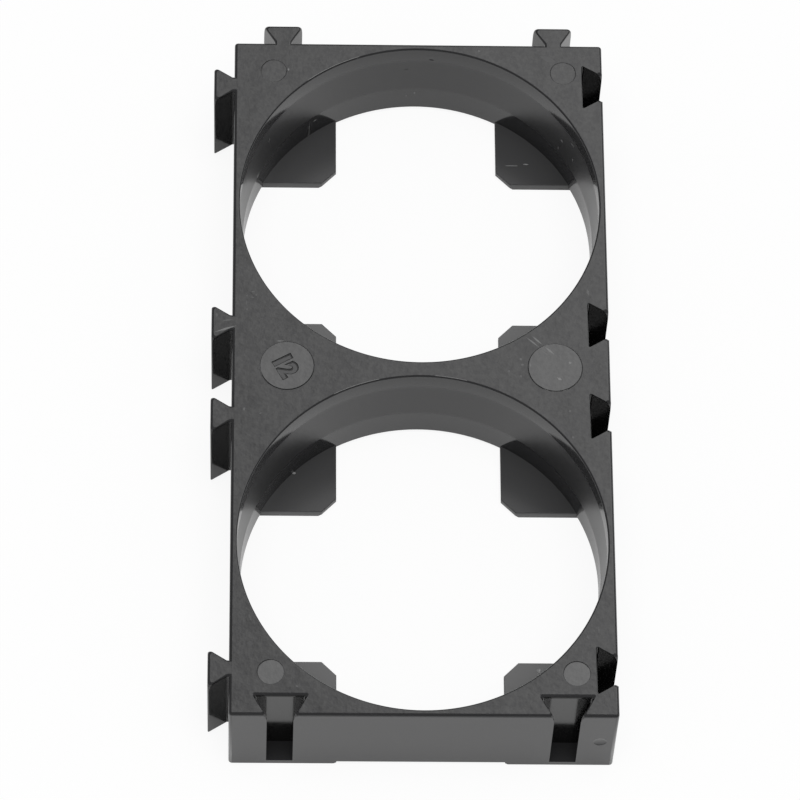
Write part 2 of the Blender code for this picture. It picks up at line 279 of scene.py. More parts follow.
def add_turned(shape, centre, profile, steps):
    """Turns a profile of (radius, height) points, from axis to axis, round an upright axis."""
    x, y = centre
    start = math.pi / steps
    verts = [shape.verts.new((x + radius * math.cos(start), y + radius * math.sin(start), height))
             for radius, height in profile]
    edges = [shape.edges.new(pair) for pair in zip(verts, verts[1:])]
    bmesh.ops.spin(shape, geom=verts + edges, cent=(x, y, 0), axis=(0, 0, 1), angle=2 * math.pi,
                   steps=steps, use_merge=True)


def cut_or_join(target, tool, operation):
    """Adds an exact Boolean of a tool to a target."""
    modifier = target.modifiers.new(tool.name, "BOOLEAN")
    modifier.operation = operation
    modifier.solver = "EXACT"
    modifier.object = tool


def make_body_block():
    """Makes the block with its rounded corners and edges."""
    shape = bmesh.new()
    add_box(shape, (BODY_LEFT, BODY_FRONT, 0), (BODY_RIGHT, BODY_BACK, TOP))
    round_edges(shape, upright_edges(shape), BODY_CORNER_RADIUS)
    round_edges(shape, edges_at(shape, TOP), TOP_EDGE_RADIUS)
    round_edges(shape, edges_at(shape, 0), BASE_EDGE_RADIUS, steps=2)
    return make_solid("body_block", shape)


def make_bores():
    """Makes the two bores, whose shoulder at the top face is rounded into the rim."""
    shape = bmesh.new()
    low_radius = BORE_RADIUS - BORE_TAPER
    shelf = BORE_RADIUS + 2 * RIM_RADIUS
    brim = TOP + HAIR
    for row in CELL_ROWS:
        add_turned(shape, (MIDDLE_X, row),
                   [(0, -OVERRUN), (low_radius, -OVERRUN), (low_radius, BORE_GRIP_TO),
                    (BORE_RADIUS, BORE_STRAIGHT_FROM), (BORE_RADIUS, brim), (shelf, brim),
                    (shelf, TOP + OVERRUN), (0, TOP + OVERRUN)], BORE_SEGMENTS)
    bmesh.ops.remove_doubles(shape, verts=shape.verts[:], dist=MERGE_DISTANCE)
    rims = []
    for edge in edges_at(shape, brim):
        if max(off_axis(vert.co) for vert in edge.verts) < BORE_RADIUS + RIM_RADIUS:
            rims.append(edge)
    round_edges(shape, rims, RIM_RADIUS)
    creases = edges_at(shape, BORE_GRIP_TO) + edges_at(shape, BORE_STRAIGHT_FROM)
    round_edges(shape, creases, BORE_CREASE_RADIUS, steps=3)
    for vert in shape.verts:
        on_shelf = off_axis(vert.co) > (BORE_RADIUS + RIM_RADIUS + shelf) / 2
        if abs(vert.co.z - brim) < LEVEL_MARGIN and on_shelf:
            vert.co.z += RIM_RADIUS
    return make_solid("bores", shape)


# Feet. The underside is relieved by crossing channels for the connecting strips, and the feet
# left between them carry on into the bores as corner ledges, on which the cells stand.
CHANNEL_WIDTH = 0.0148
LEDGE_TOP = 0.00085
LEDGE_CORNER_CUT = 0.0013
LEDGE_EDGE_RADIUS = 0.00008
FOOT_CHAMFER = 0.0003


def make_underside_void():
    """Makes the slab of air under the body."""
    shape = bmesh.new()
    add_box(shape, (BODY_LEFT - OVERRUN, BODY_FRONT - OVERRUN, -OVERRUN),
            (BODY_RIGHT + OVERRUN, BODY_BACK + OVERRUN, CHANNEL_DEPTH))
    return make_solid("underside_void", shape)


def make_feet():
    """Makes the feet, with cut corners and eased edges beside the lengthways channel."""
    shape = bmesh.new()
    past_end = 2 * OVERRUN + LEDGE_CORNER_CUT
    lows = [BODY_FRONT - past_end] + [row + CHANNEL_WIDTH / 2 for row in CELL_ROWS]
    highs = [row - CHANNEL_WIDTH / 2 for row in CELL_ROWS] + [BODY_BACK + past_end]
    sides = ((BODY_LEFT - 2 * OVERRUN, MIDDLE_X - CHANNEL_WIDTH / 2),
             (MIDDLE_X + CHANNEL_WIDTH / 2, BODY_RIGHT + 2 * OVERRUN))
    for left, right in sides:
        for low, high in zip(lows, highs):
            foot = bmesh.new()
            add_box(foot, (left, low, -2 * OVERRUN), (right, high, LEDGE_TOP))
            inner = right if left < MIDDLE_X - CHANNEL_WIDTH else left
            corners = [edge for edge in upright_edges(foot)
                       if abs(edge.verts[0].co.x - inner) < LEVEL_MARGIN]
            bmesh.ops.bevel(foot, geom=corners, offset=LEDGE_CORNER_CUT, offset_type="OFFSET",
                            segments=1, profile=0.5, affect="EDGES", material=-1)
            round_edges(foot, edges_at(foot, LEDGE_TOP), LEDGE_EDGE_RADIUS, steps=3)
            for height in (0, FOOT_CHAMFER):
                bmesh.ops.bisect_plane(foot, geom=foot.verts[:] + foot.edges[:] + foot.faces[:],
                                       plane_co=(0, 0, height), plane_no=(0, 0, 1))
            outer = left + right - inner
            for vert in foot.verts:
                if vert.co.z < FOOT_CHAMFER / 2 and abs(vert.co.x - outer) > OVERRUN:
                    vert.co.x += math.copysign(FOOT_CHAMFER, outer - inner)
            mesh = bpy.data.meshes.new("foot")
            foot.to_mesh(mesh)
            foot.free()
            shape.from_mesh(mesh)
            bpy.data.meshes.remove(mesh)
    return make_solid("feet", shape)


# Dovetails. Tabs on the left and back sides slide down into sockets in the right and front sides
# of the next bracket. Tabs and sockets stop short of the base, and are opened out at the top.
TAB_INSET = 0.00445
TAB_ROOT_WIDTH = 0.00135
TAB_FLANK_SLOPE = math.tan(math.radians(32.0))
TAB_TIP_CUT = 0.00018
TAB_TIP_TOP_CUT = 0.0005
TAB_TOP_RADIUS = 0.00022
TAB_ANCHOR = 0.001
TAB_ROOT_FILLET = 0.0002
SOCKET_SIDE_CLEARANCE = 0.00028
SOCKET_END_CLEARANCE = 0.0003
SOCKET_FLOOR = 0.00065
SOCKET_CORNER_CUT = 0.0003
SOCKET_RIM_RADIUS = 0.0003
SIDE_SOCKET_RIM_RADIUS = 0.0001
SOCKET_SIDE_RIM_SHARE = 0.85
LEAD_IN_FLARE = 0.00065
LEAD_IN_HEIGHT = 0.0014
LEAD_IN_SHIFT = 0.0007
LEAD_IN_SEGMENTS = 96
SOCKET_DEPTH = TAB_REACH - STACK_GAP + SOCKET_END_CLEARANCE
SOCKET_MOUTH = TAB_ROOT_WIDTH / 2 + STACK_GAP * TAB_FLANK_SLOPE + SOCKET_SIDE_CLEARANCE
TAB_OFFSET = BODY_WIDTH / 2 - TAB_INSET


def quarter_steps(radius, steps=ROUND_STEPS):
    """Returns (rise, run) pairs round a quarter circle, from its upright side to its level side."""
    turns = [math.pi / 2 * index / steps for index in range(steps + 1)]
    return [(radius * math.sin(turn), radius * (1 - math.cos(turn))) for turn in turns]


def add_outline(shape, corners, place, height, rounded, cut):
    """Adds a level face from (along, across) corners, and rounds those that are numbered."""
    x, y, direction = place
    verts = []
    for along, across in corners:
        verts.append(shape.verts.new((x + along * direction[0] - across * direction[1],
                                      y + along * direction[1] + across * direction[0], height)))
    face = shape.faces.new(verts)
    others = set(shape.faces) - {face}
    bmesh.ops.bevel(shape, geom=[verts[index] for index in rounded], offset=cut,
                    offset_type="OFFSET", segments=ROUND_STEPS, profile=0.5, affect="VERTICES",
                    material=-1)
    return next(face for face in shape.faces if face not in others)


def add_loft(shape, faces):
    """Joins level faces, listed upwards, into a closed solid."""
    loops = [list(face.edges) for face in faces]
    bmesh.ops.delete(shape, geom=faces[1:-1], context="FACES_ONLY")
    for lower, upper in zip(loops, loops[1:]):
        bmesh.ops.bridge_loops(shape, edges=lower + upper)


def tab_places():
    """Returns (x, y, direction) of each tab's root."""
    places = []
    for row in CELL_ROWS:
        places.append((BODY_LEFT, row - TAB_OFFSET, (-1, 0)))
        places.append((BODY_LEFT, row + TAB_OFFSET, (-1, 0)))
    places.append((MIDDLE_X - TAB_OFFSET, BODY_BACK, (0, 1)))
    places.append((MIDDLE_X + TAB_OFFSET, BODY_BACK, (0, 1)))
    return places


def socket_places():
    """Returns (x, y, direction) of each socket's mouth, across the body from the tabs."""
    places = []
    for x, y, direction in tab_places():
        if direction[0]:
            places.append((BODY_RIGHT, y, direction))
        else:
            places.append((x, BODY_FRONT, direction))
    return places


def tab_corners(inset):
    """Returns a tab's outline, drawn in by an inset."""
    root = TAB_ROOT_WIDTH / 2 - inset
    tip = TAB_ROOT_WIDTH / 2 + TAB_REACH * TAB_FLANK_SLOPE - inset
    side = [(-TAB_ANCHOR, root + TAB_ROOT_FILLET), (-KNIT, root + TAB_ROOT_FILLET / 2),
            (TAB_ROOT_FILLET, root + TAB_ROOT_FILLET * TAB_FLANK_SLOPE), (TAB_REACH - inset, tip)]
    return side + [(along, -across) for along, across in reversed(side)]


def tab_levels():
    """Returns (height, inset, tip cut) up a tab, whose tips grow rounder towards its top."""
    lead_in_start = TOP - LEAD_IN_HEIGHT
    shoulder = TOP - TAB_TOP_RADIUS
    extra = TAB_TIP_TOP_CUT - TAB_TIP_CUT
    levels = [(SOCKET_FLOOR, 0, TAB_TIP_CUT)]
    for rise, run in quarter_steps(1.0)[:-1]:
        levels.append((lead_in_start + (shoulder - lead_in_start) * rise, 0,
                       TAB_TIP_CUT + extra * run))
    for rise, run in quarter_steps(TAB_TOP_RADIUS):
        levels.append((shoulder + rise - HAIR, run, TAB_TIP_TOP_CUT))
    return levels


def make_tabs():
    """Makes the dovetail tabs."""
    shape = bmesh.new()
    for place in tab_places():
        faces = []
        for height, inset, cut in tab_levels():
            faces.append(add_outline(shape, tab_corners(inset), place, height, (3, 4), cut))
        add_loft(shape, faces)
    return make_solid("tabs", shape)


def socket_corners(outset):
    """Returns a socket's outline from past its mouth to its deep end, grown by an outset there."""
    mouth = SOCKET_MOUTH + outset * SOCKET_SIDE_RIM_SHARE
    deep = SOCKET_DEPTH + outset
    deep_half = mouth + SOCKET_DEPTH * TAB_FLANK_SLOPE
    side = [(-OVERRUN, mouth), (-KNIT, mouth), (deep, deep_half)]
    return side + [(along, -across) for along, across in reversed(side)]


def make_sockets(name, places, rim):
    """Makes the cutters of one side's sockets, opened to a rounded rim at the top face."""
    shape = bmesh.new()
    levels = [(SOCKET_FLOOR, 0)]
    for rise, run in quarter_steps(rim):
        levels.append((TOP + HAIR - rim + rise, run))
    levels.append((TOP + OVERRUN, rim))
    for place in places:
        faces = []
        for height, outset in levels:
            faces.append(add_outline(shape, socket_corners(outset), place, height, (2, 3),
                                     SOCKET_CORNER_CUT))
        add_loft(shape, faces)
    return make_solid(name, shape)


def make_lead_ins():
    """Makes the round flares that guide a tab down into each socket's mouth."""
    shape = bmesh.new()
    base = TOP - LEAD_IN_HEIGHT
    profile = [(0, base)]
    for rise, run in quarter_steps(1.0, 2 * ROUND_STEPS):
        profile.append((math.hypot(SOCKET_MOUTH + LEAD_IN_FLARE * run, LEAD_IN_SHIFT),
                        base + (LEAD_IN_HEIGHT + HAIR) * rise))
    profile += [(profile[-1][0], TOP + OVERRUN), (0, TOP + OVERRUN)]
    for x, y, direction in socket_places():
        middle = (x - direction[0] * LEAD_IN_SHIFT, y - direction[1] * LEAD_IN_SHIFT)
        add_turned(shape, middle, profile, LEAD_IN_SEGMENTS)
    return make_solid("lead_ins", shape)


# Pin marks. The ejector pins left two wide discs standing a hair proud of the bridge between the
# cells, and four small ones a hair below the top face near the corners.
PIN_PAD_DIAMETER = 0.0048
PIN_PAD_INSET = 0.0049
PIN_PAD_BACK_SHIFT = 0.00023
PIN_DIMPLE_DIAMETER = 0.0023
PIN_DIMPLE_DEPTH = 0.00003
PIN_DIMPLE_SIDE_INSET = 0.0036
PIN_DIMPLE_BACK_INSET = 0.003
PIN_DIMPLE_FRONT_INSET = 0.0041
PIN_EDGE_RADIUS = 0.00003
PIN_GROOVE_RADIUS = 0.00005
PIN_GROOVE_SIDES = 12
PIN_GROOVE_LIFT = 0.000022
# Where each groove is deepest, in degrees from the right, and on how many sides.
PIN_GROOVE_DEEP_SIDES = ((-30, 1), (0, 2), (150, 2), (160, 1), (0, 2), (105, 1))
MOULD_NUMBER = "12"
MOULD_NUMBER_SIZE = 0.0023
MOULD_NUMBER_DEPTH = 0.00014
MOULD_NUMBER_OFFSET = 0.00004
MOULD_NUMBER_SHIFT = -0.0002
MOULD_NUMBER_TURN = -61.0
MOULD_NUMBER_STEPS = 4
PIN_SEGMENTS = 96


def pin_pad_places():
    """Returns the centres of the two proud discs."""
    y = (CELL_ROWS[0] + CELL_ROWS[1]) / 2 + PIN_PAD_BACK_SHIFT
    return [(MIDDLE_X + side * (BODY_WIDTH / 2 - PIN_PAD_INSET), y) for side in (-1, 1)]


def pin_dimple_places():
    """Returns the centres of the four sunken discs."""
    rows = (BODY_BACK - PIN_DIMPLE_BACK_INSET, BODY_FRONT + PIN_DIMPLE_FRONT_INSET)
    return [(MIDDLE_X + side * (BODY_WIDTH / 2 - PIN_DIMPLE_SIDE_INSET), y)
            for side in (-1, 1) for y in rows]


def make_pin_pads():
    """Makes the two proud discs."""
    shape = bmesh.new()
    half = PIN_PAD_DIAMETER / 2
    for place in pin_pad_places():
        add_turned(shape, place,
                   [(0, TOP - OVERRUN), (half, TOP - OVERRUN), (half, cad_high.z), (0, cad_high.z)],
                   PIN_SEGMENTS)
    bmesh.ops.remove_doubles(shape, verts=shape.verts[:], dist=MERGE_DISTANCE)
    rims = [edge for edge in edges_at(shape, cad_high.z) if len(edge.link_faces) == 2
            and edge.calc_face_angle() > math.pi / 4]
    round_edges(shape, rims, PIN_EDGE_RADIUS, steps=3)
    return make_solid("pin_pads", shape)


def make_pin_dimples():
    """Makes the cutters of the four sunken discs."""
    shape = bmesh.new()
    half = PIN_DIMPLE_DIAMETER / 2
    floor = TOP - PIN_DIMPLE_DEPTH
    for place in pin_dimple_places():
        add_turned(shape, place, [(0, floor), (half, floor), (half, TOP + OVERRUN),
                                  (0, TOP + OVERRUN)], PIN_SEGMENTS)
    return make_solid("pin_dimples", shape)


def make_pin_grooves():
    """Makes the cutters of the fine grooves that the gaps round the pins left."""
    shape = bmesh.new()
    rings = [(place, PIN_PAD_DIAMETER / 2) for place in pin_pad_places()]
    rings += [(place, PIN_DIMPLE_DIAMETER / 2) for place in pin_dimple_places()]
    for index, ((x, y), radius) in enumerate(rings):
        middle = Vector((x + radius, y, TOP))
        turn = (Matrix.Translation(middle) @ Matrix.Rotation(math.pi / 2, 4, "X")
                @ Matrix.Rotation(math.pi / PIN_GROOVE_SIDES, 4, "Z"))
        circle = bmesh.ops.create_circle(shape, segments=PIN_GROOVE_SIDES, matrix=turn,
                                         radius=PIN_GROOVE_RADIUS)["verts"]
        edges = {edge for vert in circle for edge in vert.link_edges}
        bmesh.ops.spin(shape, geom=circle + list(edges), cent=(x, y, 0), axis=(0, 0, 1),
                       angle=2 * math.pi, steps=PIN_SEGMENTS, use_merge=True)
        turn, sides = PIN_GROOVE_DEEP_SIDES[index]
        for vert in shape.verts:
            away = vert.co.to_2d() - Vector((x, y))
            if away.length < radius + 3 * PIN_GROOVE_RADIUS:
                angle = math.atan2(away.y, away.x) - math.radians(turn)
                vert.co.z += PIN_GROOVE_LIFT * (1 - math.cos(sides * angle))
    return make_solid("pin_grooves", shape)


def make_mould_number():
    """Makes the cutter of the tool's cavity number, sunk into the left disc."""
    curve = bpy.data.curves.new("mould_number", "FONT")
    curve.body = MOULD_NUMBER
    curve.size = MOULD_NUMBER_SIZE
    curve.align_x = "CENTER"
    curve.align_y = "CENTER"
    curve.bevel_depth = MOULD_NUMBER_DEPTH
    curve.bevel_resolution = MOULD_NUMBER_STEPS // 2
    curve.offset = MOULD_NUMBER_OFFSET
    curve.resolution_u = MOULD_NUMBER_STEPS
    letters = bpy.data.objects.new("mould_number", curve)
    bpy.context.scene.collection.objects.link(letters)
    bpy.context.view_layer.update()
    shape = bmesh.new()
    shape.from_mesh(letters.evaluated_get(bpy.context.evaluated_depsgraph_get()).to_mesh())
    bpy.data.objects.remove(letters, do_unlink=True)
    x, y = pin_pad_places()[0]
    bmesh.ops.rotate(shape, verts=shape.verts[:], cent=(0, 0, 0),
                     matrix=Matrix.Rotation(math.radians(MOULD_NUMBER_TURN), 3, "Z"))
    bmesh.ops.translate(shape, verts=shape.verts[:], vec=(x + MOULD_NUMBER_SHIFT, y, cad_high.z))
    return make_solid("mould_number", shape)


# Wear. Use has scratched and rubbed the top face paler, left a few specks of plastic on the walls
# and ledges, and dented the front face. The tables give places and sizes in millimetres, angles in
# degrees and, last for scuffs and specks, how worn pale they are.
MM = 0.001
SCUFF_DEPTH = 0.00001
# Scuffs: middle, length and width, and turn.
SCUFFS = (
    (10.91, 1.87, 1.60, 0.18, -41.9, 0.42), (11.30, 2.08, 1.40, 0.18, -44.2, 0.48),
    (12.41, 1.00, 1.25, 0.22, -44.2, 0.54), (12.01, 0.74, 1.25, 0.16, -43.4, 0.30),
    (14.20, -0.21, 0.26, 0.32, 0, 0.60), (13.23, -1.84, 0.50, 0.27, -35, 0.60),
    (13.59, 0.54, 0.35, 0.22, 0, 0.21), (14.30, 0.60, 0.33, 0.20, -33, 0.21),
    (10.66, -0.45, 0.14, 0.47, 0, 0.42), (9.83, 0.15, 0.30, 0.30, 30, 0.27),
    (9.95, -0.40, 0.25, 0.27, 0, 0.27), (9.80, -1.57, 0.22, 0.27, 0, 0.21),
    (8.74, -1.07, 0.30, 0.27, 20, 0.18), (-11.65, 1.81, 0.80, 0.18, 4, 0.36),
    (-10.98, 30.08, 0.18, 0.35, 0, 0.54), (14.10, -5.04, 0.25, 0.27, 0, 0.21),
    (14.31, -7.64, 0.22, 0.30, 0, 0.21), (-14.80, -5.06, 0.20, 0.38, 0, 0.30),
    (-13.34, -5.48, 0.40, 0.16, 30, 0.18), (15.95, 7.03, 0.25, 0.81, 10, 0.21),
    (-14.13, -25.47, 0.25, 0.81, 20, 0.12), (-14.12, -27.96, 0.60, 0.68, 0, 0.07),
    (16.17, -26.50, 0.12, 0.81, 0, 0.18), (15.19, -27.17, 0.20, 0.54, 20, 0.15),
    (-10.04, -32.02, 0.30, 0.20, -30, 0.24), (12.84, 31.45, 1.90, 0.68, -23, 0.07),
    (6.50, 32.24, 0.30, 0.30, 0, 0.24), (-14.10, 6.80, 0.50, 0.11, 10, 0.27),
    (-13.80, 6.48, 0.32, 0.11, -70, 0.27), (-14.12, 6.22, 0.45, 0.11, -10, 0.24),
    (-14.62, 6.40, 0.30, 0.11, 60, 0.21), (-14.65, 5.70, 0.50, 0.11, 85, 0.18),
    (-14.60, 5.00, 0.35, 0.16, 95, 0.21), (-16.50, 3.00, 2.30, 0.22, 19, 0.50),
    (-16.35, 3.88, 1.20, 0.15, 8, 0.25), (-17.30, 4.40, 0.25, 0.50, 0, 0.20),
)
# Specks on a bore's wall: number of the bore, angle, height, half width and half height.
WALL_SPECKS = (
    (1, 34.5, 6.0, 0.14, 0.16, 0.35), (1, 29.0, 7.4, 0.26, 0.1, 0.3),
    (1, 35.5, 4.4, 0.07, 0.3, 0.2), (1, 27.5, 5.5, 0.1, 0.18, 0.3),
    (1, 128.5, 2.0, 0.05, 0.7, 0.35), (1, 126.0, 2.95, 0.2, 0.05, 0.35),
    (1, 147.5, 6.5, 0.18, 0.22, 0.1), (1, 156.0, 3.9, 0.1, 0.1, 0.6),
    (1, 90.5, 3.0, 0.07, 0.07, 0.9), (1, 93.2, 2.5, 0.06, 0.06, 0.6),
    (1, 93.6, 6.8, 0.22, 0.05, 0.25),
)
# Specks on a ledge: middle, half length and half width.
LEDGE_SPECKS = ((9.82, 25.53, 0.6, 0.06, 0.6), (11.15, 25.70, 0.26, 0.07, 0.8),
                (-10.27, -6.65, 0.16, 0.12, 1.0), (11.43, -26.12, 0.21, 0.25, 0.9))
SPECK_THICKNESS = 0.05
# A pit in a bore's wall, given in the same order.
PIT = (1, 85.5, 8.5, 0.24, 0.09)
PIT_THICKNESS = 0.08
# The front face's dent: how far right and how high it is, then its three half sizes.
FRONT_DENT = (16.38, 5.0, 0.6, 0.11, 0.75)
BLOB_SUBDIVISIONS = 3


def bore_radius_at(height):
    """Returns a bore's radius at a height."""
    share = (height - BORE_GRIP_TO) / (BORE_STRAIGHT_FROM - BORE_GRIP_TO)
    return BORE_RADIUS - BORE_TAPER * (1 - min(max(share, 0), 1))


def wall_matrix(index, angle, height, half_width, half_height, thickness):
    """Places a flat blob on a bore's wall; its sizes are in millimetres."""
    turn = math.radians(angle)
    radius = bore_radius_at(height * MM)
    place = (MIDDLE_X + radius * math.cos(turn), CELL_ROWS[index] + radius * math.sin(turn),
             height * MM)
    return (Matrix.Translation(place) @ Matrix.Rotation(turn, 4, "Z")
            @ Matrix.Diagonal((thickness * MM, half_width * MM, half_height * MM, 1)))


def speck_matrices():
    """Returns (matrix, how worn) of every speck."""
    placed = [(wall_matrix(*speck[:5], SPECK_THICKNESS), speck[5]) for speck in WALL_SPECKS]
    for x, y, half_length, half_width, share in LEDGE_SPECKS:
        size = (half_length * MM, half_width * MM, SPECK_THICKNESS * MM, 1)
        placed.append((Matrix.Translation((x * MM, y * MM, LEDGE_TOP - 2 * HAIR))
                       @ Matrix.Diagonal(size), share))
    return placed


def add_blob(shape, matrix):
    """Adds a ball, which a matrix places and flattens."""
    bmesh.ops.create_icosphere(shape, subdivisions=BLOB_SUBDIVISIONS, radius=1.0, matrix=matrix)


def make_specks():
    """Makes the specks."""
    shape = bmesh.new()
    for matrix, _ in speck_matrices():
        add_blob(shape, matrix)
    return make_solid("specks", shape)


def make_dents():
    """Makes the cutters of the pit in the back bore and the dent in the front face."""
    shape = bmesh.new()
    x, z, *radii = [part * MM for part in FRONT_DENT]
    add_blob(shape, wall_matrix(*PIT, PIT_THICKNESS))
    add_blob(shape, Matrix.Translation((x, BODY_FRONT, z)) @ Matrix.Diagonal((*radii, 1)))
    return make_solid("dents", shape)


def scuff_surface(x, y):
    """Returns the height of the surface that a scuff lies on."""
    near = min((Vector((x, y)) - Vector(place)).length for place in pin_pad_places())
    return cad_high.z if near < PIN_PAD_DIAMETER / 2 else TOP


def make_scuffs():
    """Makes the cutters of the scuffs, which are shallow and pointed at both ends."""
    shape = bmesh.new()
    for x, y, length, width, turn, _ in SCUFFS:
        floor = scuff_surface(x * MM, y * MM) - SCUFF_DEPTH
        matrix = (Matrix.Translation((x * MM, y * MM, floor + OVERRUN / 2))
                  @ Matrix.Rotation(math.radians(turn), 4, "Z")
                  @ Matrix.Diagonal((length * MM, width * MM, OVERRUN, 1)))
        bmesh.ops.create_cone(shape, cap_ends=True, segments=4, radius1=0.5, radius2=0.5,
                              depth=1.0, matrix=matrix)
    return make_solid("scuffs", shape)


# Moulding. Everything above is one shot of plastic, so the parts are joined and cut into a single
# closed skin, shaded smooth over its rounded edges and crisp at its sharp ones.
CREASE_ANGLE = math.radians(32.0)
COPLANAR_ANGLE = math.radians(0.05)
# Faces of more than this many square metres belong to no rounding.
FLAT_AREA = 2.5e-6
# Faces are told apart by how far they look up: 0 is an upright face and 1 a level one.
UPRIGHT_BELOW = 0.5
LEVEL_ABOVE = 0.999
FLAT_ABOVE = 0.99999
TAPER_BETWEEN = (0.02, 0.5)
RIM_BETWEEN = (0.9, 0.9995)
NUMBER_FLOOR_ABOVE = 0.6
NUMBER_REACH_SHARE = 0.4
# A small face this close to a speck, in the speck's own half sizes, belongs to it.
SPECK_REACH = 1.1
SPECK_FACE_AREA = 2.5e-7
# How pale the faces are painted: worn where pins pressed or cells and hands rubbed, and a painted
# highlight on the mould number's floor and on stretches of the bores' rims.
PAD_WORN = 0.2
BACK_DIMPLE_WORN = 0.04
FRONT_DIMPLE_WORN = 0.26
LEDGE_WORN = 0.45
# The ledges behind a bore's middle are painted less pale than the front ones, as painted shade.
BACK_LEDGE_WEAR_AND_SHADE = 0.12
LEDGE_FRONT_WORN = 0.18
# The mould number's floor is painted paler than the disc, as a painted highlight.
NUMBER_FLOOR_HIGHLIGHT = 0.1
RIM_HIGHLIGHT = 0.8
# Stretches of the bores' rims that are painted pale as a highlight: bore, and from and to in
# degrees.
HIGHLIGHT_RIMS = ((0, 76, 86), (0, 103, 118), (1, 110, 128))
# How rough the ledges are, as shares of the way from gloss to satin.
LEDGE_ROUGHNESS_SHARE = 1.3
BACK_LEDGE_ROUGHNESS_SHARE = 0.85


def is_flat(face):
    """Tells whether a face is one of the moulding's flat faces, and not a strip of a rounding."""
    by_bore = off_axis(face.calc_center_median()) < BORE_RADIUS + RIM_RADIUS
    if by_bore and abs(face.normal.z) < UPRIGHT_BELOW:
        return False
    return face.calc_area() > FLAT_AREA or max(abs(part) for part in face.normal) > FLAT_ABOVE


def at_level(face, centre, height):
    """Tells whether a face lies level at a height, closer than scuffs differ from it."""
    return face.normal.z > LEVEL_ABOVE and abs(centre.z - height) < SCUFF_DEPTH / 4


def in_ledge(face, centre):
    """Tells whether a face belongs to the part of a foot that stands inside a bore."""
    if centre.z > LEDGE_TOP + HAIR or face.normal.z < -UPRIGHT_BELOW:
        return False
    return any(off_axis(vert.co) < BORE_RADIUS - 2 * BORE_TAPER for vert in face.verts)


def behind_cell(centre):
    """Tells whether a place lies behind the middle of its bore."""
    return centre.y > min(CELL_ROWS, key=lambda row: abs(row - centre.y))


def in_number(face, centre):
    """Tells whether a face is the floor of the mould number."""
    way = centre.to_2d() - Vector(pin_pad_places()[0])
    return (face.normal.z > NUMBER_FLOOR_ABOVE and centre.z < cad_high.z - 2 * SCUFF_DEPTH
            and way.length < NUMBER_REACH_SHARE * PIN_PAD_DIAMETER)


def in_flank_shade(face, centre):
    """Tells whether a face is an upright flank of a dovetail or its socket, which gets a darker
    black as painted shade.
    """
    if abs(face.normal.z) > UPRIGHT_BELOW or off_axis(centre) < BORE_RADIUS + RIM_RADIUS:
        return False
    margin = BODY_CORNER_RADIUS / 2
    beside = centre.x < BODY_LEFT - margin or centre.y > BODY_BACK + margin
    within = (BODY_LEFT + margin < centre.x < BODY_RIGHT - margin
              and BODY_FRONT + margin < centre.y < BODY_BACK - margin)
    return centre.z > SOCKET_FLOOR and (beside or within)


def rim_highlight_share(face, centre):
    """Returns how pale a face of a bore's rim is painted, as a highlight."""
    low, high = RIM_BETWEEN
    if not low < face.normal.z < high or off_axis(centre) < BORE_RADIUS + RIM_RADIUS / 2:
        return 0.0
    for index, start, end in HIGHLIGHT_RIMS:
        way = centre.to_2d() - Vector((MIDDLE_X, CELL_ROWS[index]))
        near = way.length < BORE_RADIUS + 2 * RIM_RADIUS
        if near and start < math.degrees(math.atan2(way.y, way.x)) < end:
            # Painted highlight along these stretches of rim.
            return RIM_HIGHLIGHT
    return 0.0


def wear_and_painted_light_share(face, centre):
    """Returns how pale a face is painted, for wear and for painted highlight and shade."""
    if in_ledge(face, centre):
        if face.normal.z < UPRIGHT_BELOW:
            return LEDGE_FRONT_WORN
        # Painted shade: the back ledges are kept less pale than the front ones.
        return BACK_LEDGE_WEAR_AND_SHADE if behind_cell(centre) else LEDGE_WORN
    # Painted highlight on the mould number's floor.
    if in_number(face, centre):
        return NUMBER_FLOOR_HIGHLIGHT
    if at_level(face, centre, cad_high.z):
        return PAD_WORN
    if at_level(face, centre, TOP - PIN_DIMPLE_DEPTH):
        return FRONT_DIMPLE_WORN if centre.y < MIDDLE_Y else BACK_DIMPLE_WORN
    if any(at_level(face, centre, height - SCUFF_DEPTH) for height in (TOP, cad_high.z)):
        return min(SCUFFS, key=lambda scuff: (Vector(scuff[:2]) * MM - centre.to_2d()).length)[5]
    return rim_highlight_share(face, centre)


def mark_finishes(shape):
    """Marks how satin and grained each face is, how pale it is painted for wear and painted
    highlight, and where it gets painted shade, for the plastic's material.
    """
    satin, grained, wear_and_painted_light, flank_shade = [shape.faces.layers.float.new(name)
                                   for name in ("satin", "grained", "wear_and_painted_light", "flank_shade")]
    specks = [(matrix.inverted(), share) for matrix, share in speck_matrices()]
    low, high = TAPER_BETWEEN
    for face in shape.faces:
        centre = face.calc_center_median()
        in_bore = BORE_RADIUS - 2 * BORE_TAPER < off_axis(centre) < BORE_RADIUS
        face[satin] = float(in_bore and low < face.normal.z < high)
        if in_ledge(face, centre):
            behind = behind_cell(centre)
            face[satin] = BACK_LEDGE_ROUGHNESS_SHARE if behind else LEDGE_ROUGHNESS_SHARE
        face[grained] = float(any(at_level(face, centre, height)
                                  for height in (TOP, cad_high.z, TOP - PIN_DIMPLE_DEPTH)))
        face[wear_and_painted_light] = wear_and_painted_light_share(face, centre)
        face[flank_shade] = float(in_flank_shade(face, centre))
        for inverse, share in specks:
            near = (inverse @ centre).length < SPECK_REACH
            if near and face.calc_area() < SPECK_FACE_AREA:
                face[wear_and_painted_light] = share


